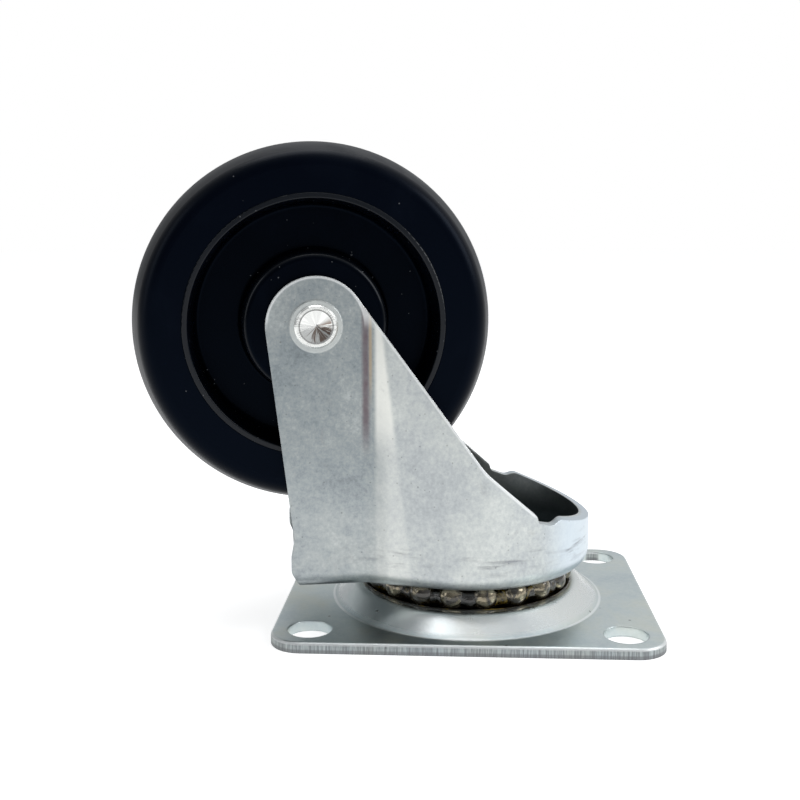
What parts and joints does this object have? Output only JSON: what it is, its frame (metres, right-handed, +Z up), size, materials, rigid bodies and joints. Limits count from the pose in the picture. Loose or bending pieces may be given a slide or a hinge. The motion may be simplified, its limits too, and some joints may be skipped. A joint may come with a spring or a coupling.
{
  "type": "swivel plate castor",
  "caption": "Swivel castor on a four-hole plate: pressed steel fork, double ball race with kingpin, and a small solid black wheel turning on a riveted axle.",
  "frame": {"origin": "centre of the mounting plate's underside, on the swivel axis", "axes": "+X along the plate's long side, +Y along its short side, +Z up the kingpin from the plate to the wheel; the fork stands turned 10 degrees about +Z at rest, with the wheel trailing towards -X"},
  "size_m": [0.0925, 0.053, 0.085],
  "materials": {
    "zinc_plate": "bright zinc plating, satin",
    "zinc_fork": "bright zinc plating, satin",
    "rivet_steel": "zinc plated, smooth",
    "race_steel": "zinc plated, greased",
    "ball_steel": "polished, greased",
    "axle_steel": "zinc plated, bright",
    "sleeve_steel": "plain drawn steel",
    "wheel_plastic": "moulded, glossy",
    "tyre_rubber": "moulded, smooth"
  },
  "bodies": {
    "plate": {"mounting_plate": "zinc_plate", "kingpin": "rivet_steel", "race_cup": "race_steel"},
    "fork": {"fork": "zinc_fork", "axle": "axle_steel", "axle_sleeve": "sleeve_steel"},
    "outer_balls": {"outer_ball_01": "ball_steel", "outer_ball_02": "ball_steel", "outer_ball_03": "ball_steel", "outer_ball_04": "ball_steel", "outer_ball_05": "ball_steel", "outer_ball_06": "ball_steel", "outer_ball_07": "ball_steel", "outer_ball_08": "ball_steel", "outer_ball_09": "ball_steel", "outer_ball_10": "ball_steel", "outer_ball_11": "ball_steel", "outer_ball_12": "ball_steel", "outer_ball_13": "ball_steel", "outer_ball_14": "ball_steel", "outer_ball_15": "ball_steel", "outer_ball_16": "ball_steel", "outer_ball_17": "ball_steel", "outer_ball_18": "ball_steel", "outer_ball_19": "ball_steel", "outer_ball_20": "ball_steel"},
    "inner_balls": {"inner_ball_01": "ball_steel", "inner_ball_02": "ball_steel", "inner_ball_03": "ball_steel", "inner_ball_04": "ball_steel", "inner_ball_05": "ball_steel", "inner_ball_06": "ball_steel", "inner_ball_07": "ball_steel", "inner_ball_08": "ball_steel", "inner_ball_09": "ball_steel", "inner_ball_10": "ball_steel", "inner_ball_11": "ball_steel", "inner_ball_12": "ball_steel", "inner_ball_13": "ball_steel", "inner_ball_14": "ball_steel"},
    "wheel": {"wheel_core": "wheel_plastic", "tyre": "tyre_rubber"}
  },
  "joints": [
    {"name": "swivel", "type": "hinge", "parent": "plate", "child": "fork", "pos_m": [0, 0, 0], "axis": [0, 0, 1], "continuous": true},
    {"name": "outer_ball_orbit", "type": "hinge", "parent": "plate", "child": "outer_balls", "pos_m": [0, 0, 0], "axis": [0, 0, 1], "continuous": true},
    {"name": "inner_ball_orbit", "type": "hinge", "parent": "plate", "child": "inner_balls", "pos_m": [0, 0, 0], "axis": [0, 0, 1], "continuous": true},
    {"name": "wheel_spin", "type": "hinge", "parent": "fork", "child": "wheel", "pos_m": [-0.02777, -0.0049, 0.05325], "axis": [-0.1736, 0.9848, 0], "continuous": true}
  ],
  "couplings": [
    {"joint": "outer_ball_orbit", "follows": "swivel", "ratio": 0.5},
    {"joint": "inner_ball_orbit", "follows": "swivel", "ratio": 0.5}
  ]
}
